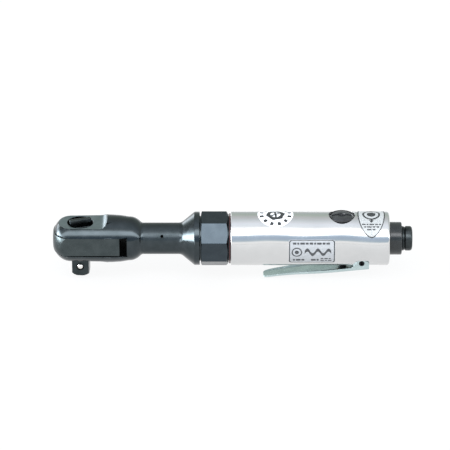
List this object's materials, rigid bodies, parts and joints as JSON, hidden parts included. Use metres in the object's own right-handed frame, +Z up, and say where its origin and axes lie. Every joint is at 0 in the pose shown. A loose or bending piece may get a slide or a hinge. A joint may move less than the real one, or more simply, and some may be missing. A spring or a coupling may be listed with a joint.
{
  "type": "air ratchet",
  "caption": "Air ratchet wrench with a half inch square drive on a forked steel head, a round polished motor body, a squeeze lever, an air regulator and a threaded air inlet.",
  "frame": {"origin": "centre of the square drive's end face", "axes": "+X along the handle towards the air inlet, +Z up, away from the drive's end, -Z out of the square drive"},
  "size_m": [0.267, 0.04, 0.0514],
  "materials": {
    "head_steel": "black phosphated, oiled, satin gloss",
    "yoke_steel": "black phosphated",
    "drive_steel": "black phosphated",
    "bright_steel": "bright",
    "knob_steel": "black phosphated",
    "hardened_steel": "ground",
    "bronze": "sintered, satin",
    "nut_steel": "dark blued, gloss",
    "gasket_red": "red fibre",
    "housing_aluminium": "polished",
    "vane": "phenolic cloth laminate",
    "regulator_black": "satin black",
    "lever_steel": "nickel plated",
    "pin_black": "black oxide",
    "plunger_black": "black",
    "deflector_black": "satin black",
    "inlet_steel": "dark phosphated, rough",
    "seal_rubber": "matt black"
  },
  "bodies": {
    "housing_body": {"ratchet_housing": "head_steel", "anvil_retaining_ring": "bright_steel", "crankshaft_bushing_front": "bronze", "crankshaft_bushing_rear": "bronze", "ring_gear": "hardened_steel", "gear_washer": "hardened_steel", "motor_clamp_sleeve": "housing_aluminium", "clamp_nut": "nut_steel", "housing_gasket": "gasket_red", "front_end_plate": "hardened_steel", "front_bearing": "bright_steel", "cylinder": "hardened_steel", "rear_end_plate": "hardened_steel", "rear_bearing": "bright_steel", "motor_housing": "housing_aluminium", "regulator_seal": "seal_rubber", "regulator_clip": "bright_steel", "lever_pin": "pin_black", "throttle_bushing": "bronze", "plunger_seal": "seal_rubber", "valve_seat": "seal_rubber", "valve_spring": "bright_steel", "inlet_bushing": "inlet_steel", "inlet_screen": "bright_steel", "deflector_seal": "seal_rubber"},
    "yoke_body": {"ratchet_yoke": "yoke_steel"},
    "anvil_body": {"anvil": "drive_steel", "pawl_pin": "bright_steel", "socket_ball_spring": "bright_steel", "thrust_washer": "bronze"},
    "knob_body": {"reverse_knob": "knob_steel", "reverse_plunger": "bright_steel", "reverse_spring": "bright_steel"},
    "pawl_body": {"pawl": "hardened_steel"},
    "ball_body": {"socket_ball": "bright_steel"},
    "crank_body": {"crankshaft": "hardened_steel", "planet_pin_1": "bright_steel", "planet_pin_2": "bright_steel", "planet_pin_3": "bright_steel"},
    "planet_body_1": {"planet_gear_1": "hardened_steel"},
    "planet_body_2": {"planet_gear_2": "hardened_steel"},
    "planet_body_3": {"planet_gear_3": "hardened_steel"},
    "drive_bushing_body": {"drive_bushing": "bronze"},
    "rotor_body": {"rotor": "hardened_steel", "rotor_vane_1": "vane", "rotor_vane_2": "vane", "rotor_vane_3": "vane", "rotor_vane_4": "vane"},
    "regulator_body": {"regulator_dial": "regulator_black"},
    "lever_body": {"throttle_lever": "lever_steel"},
    "plunger_body": {"throttle_plunger": "plunger_black"},
    "valve_body": {"tilt_valve": "bronze"},
    "deflector_body": {"exhaust_deflector": "deflector_black"}
  },
  "joints": [
    {"name": "yoke_swing", "type": "hinge", "parent": "housing_body", "child": "yoke_body", "pos_m": [0, 0, 0.028], "axis": [0, 0, 1], "range_deg": [-4.5, 4.5]},
    {"name": "drive_turn", "type": "hinge", "parent": "housing_body", "child": "anvil_body", "pos_m": [0, 0, 0.028], "axis": [0, 0, 1], "continuous": true},
    {"name": "direction_switch", "type": "hinge", "parent": "anvil_body", "child": "knob_body", "pos_m": [0, 0, 0.028], "axis": [0, 0, 1], "range_deg": [-30, 0]},
    {"name": "pawl_rock", "type": "hinge", "parent": "anvil_body", "child": "pawl_body", "pos_m": [0.0059, 0, 0.028], "axis": [0, 0, 1], "range_deg": [-10, 0]},
    {"name": "socket_ball_press", "type": "slide", "parent": "anvil_body", "child": "ball_body", "axis": [0.0698, 0.9976, 0], "range_m": [0, 0.0012], "stiffness_N_per_m": 400, "springref_m": -0.0008, "deforming": ["socket_ball_spring"]},
    {"name": "rotor_spin", "type": "hinge", "parent": "housing_body", "child": "rotor_body", "pos_m": [0.15, 0, 0.028], "axis": [1, 0, 0], "continuous": true},
    {"name": "crank_spin", "type": "hinge", "parent": "housing_body", "child": "crank_body", "pos_m": [0.087, 0, 0.028], "axis": [1, 0, 0], "continuous": true},
    {"name": "drive_bushing_spin", "type": "hinge", "parent": "crank_body", "child": "drive_bushing_body", "pos_m": [0.0256, 0, 0.03035], "axis": [1, 0, 0], "continuous": true},
    {"name": "planet_spin_1", "type": "hinge", "parent": "crank_body", "child": "planet_body_1", "pos_m": [0.0972, 0.00788, 0.028], "axis": [1, 0, 0], "continuous": true},
    {"name": "planet_spin_2", "type": "hinge", "parent": "crank_body", "child": "planet_body_2", "pos_m": [0.0972, -0.00394, 0.03482], "axis": [1, 0, 0], "continuous": true},
    {"name": "planet_spin_3", "type": "hinge", "parent": "crank_body", "child": "planet_body_3", "pos_m": [0.0972, -0.00394, 0.02118], "axis": [1, 0, 0], "continuous": true},
    {"name": "regulator_turn", "type": "hinge", "parent": "housing_body", "child": "regulator_body", "pos_m": [0.194, 0, 0.042], "axis": [0, 0, 1], "range_deg": [-90, 90]},
    {"name": "lever_squeeze", "type": "hinge", "parent": "housing_body", "child": "lever_body", "pos_m": [0.2091, 0, 0.0112], "axis": [0, 1, 0], "range_deg": [0, 6], "stiffness_Nm_per_rad": 2.4, "springref_deg": -2.86},
    {"name": "plunger_press", "type": "slide", "parent": "housing_body", "child": "plunger_body", "axis": [0, 0, 1], "range_m": [0, 0.0015]},
    {"name": "valve_tilt", "type": "hinge", "parent": "housing_body", "child": "valve_body", "pos_m": [0.2113, 0, 0.0225], "axis": [0, 1, 0], "range_deg": [0, 5.2], "deforming": ["valve_spring"]},
    {"name": "deflector_turn", "type": "hinge", "parent": "housing_body", "child": "deflector_body", "pos_m": [0.234, 0, 0.028], "axis": [1, 0, 0], "continuous": true}
  ],
  "couplings": [
    {"joint": "crank_spin", "follows": "rotor_spin", "ratio": 0.21429},
    {"joint": "drive_bushing_spin", "follows": "rotor_spin", "ratio": -0.21429},
    {"joint": "planet_spin_1", "follows": "rotor_spin", "ratio": -0.58929},
    {"joint": "planet_spin_2", "follows": "rotor_spin", "ratio": -0.58929},
    {"joint": "planet_spin_3", "follows": "rotor_spin", "ratio": -0.58929},
    {"joint": "pawl_rock", "follows": "direction_switch", "ratio": 0.33333},
    {"joint": "plunger_press", "follows": "lever_squeeze", "m_per_rad": 0.0143},
    {"joint": "valve_tilt", "follows": "lever_squeeze", "ratio": 0.85}
  ]
}
